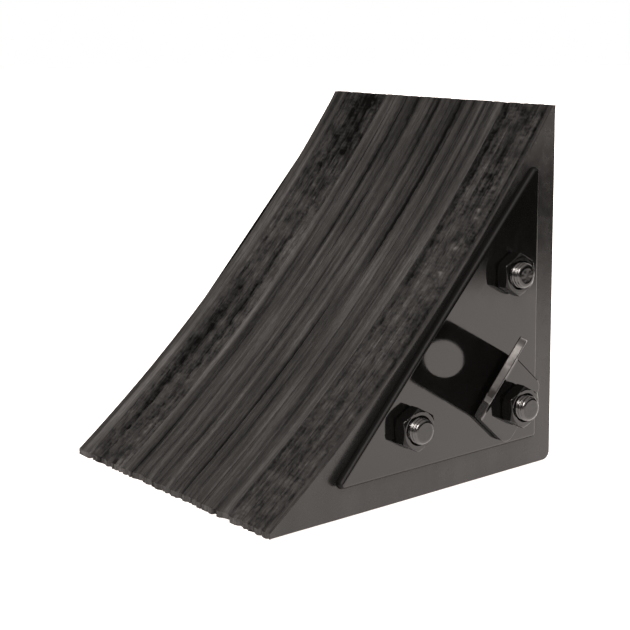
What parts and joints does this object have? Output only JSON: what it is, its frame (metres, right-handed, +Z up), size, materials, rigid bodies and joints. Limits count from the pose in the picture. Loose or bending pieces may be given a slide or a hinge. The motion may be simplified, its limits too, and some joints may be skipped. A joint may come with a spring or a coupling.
{
  "type": "laminated rubber wheel chock",
  "caption": "Wedge-shaped wheel chock of clamped rubber plies with a hollow tyre face, steel side plates, tie rods and a chain bracket.",
  "frame": {"origin": "middle of the rubber block's base, half way along its depth and its width", "axes": "+Z up; the toe points to -Y and the back faces +Y; the side with the chain bracket faces +X"},
  "size_m": [0.2834, 0.23, 0.231],
  "materials": {
    "rubber": "matt, coarse cut tyre rubber with cord fibres",
    "plate_steel": "smooth dark paint, glossy",
    "bracket_steel": "smooth dark paint, rubbed at the edges",
    "rod_steel": "cut rod ends, dull",
    "nut_steel": "dark plated, worn"
  },
  "bodies": {
    "root": {"rubber_ply_01": "rubber", "rubber_ply_02": "rubber", "rubber_ply_03": "rubber", "rubber_ply_04": "rubber", "rubber_ply_05": "rubber", "rubber_ply_06": "rubber", "rubber_ply_07": "rubber", "rubber_ply_08": "rubber", "rubber_ply_09": "rubber", "rubber_ply_10": "rubber", "rubber_ply_11": "rubber", "rubber_ply_12": "rubber", "rubber_ply_13": "rubber", "rubber_ply_14": "rubber", "rubber_ply_15": "rubber", "rubber_ply_16": "rubber", "rubber_ply_17": "rubber", "side_plate_left": "plate_steel", "side_plate_right": "plate_steel", "chain_bracket": "bracket_steel", "tie_rod_front_lower": "rod_steel", "tie_rod_rear_lower": "rod_steel", "tie_rod_rear_upper": "rod_steel", "nut_left_front_lower": "nut_steel", "nut_left_rear_lower": "nut_steel", "nut_left_rear_upper": "nut_steel", "nut_right_front_lower": "nut_steel", "nut_right_rear_lower": "nut_steel", "nut_right_rear_upper": "nut_steel"}
  },
  "joints": []
}
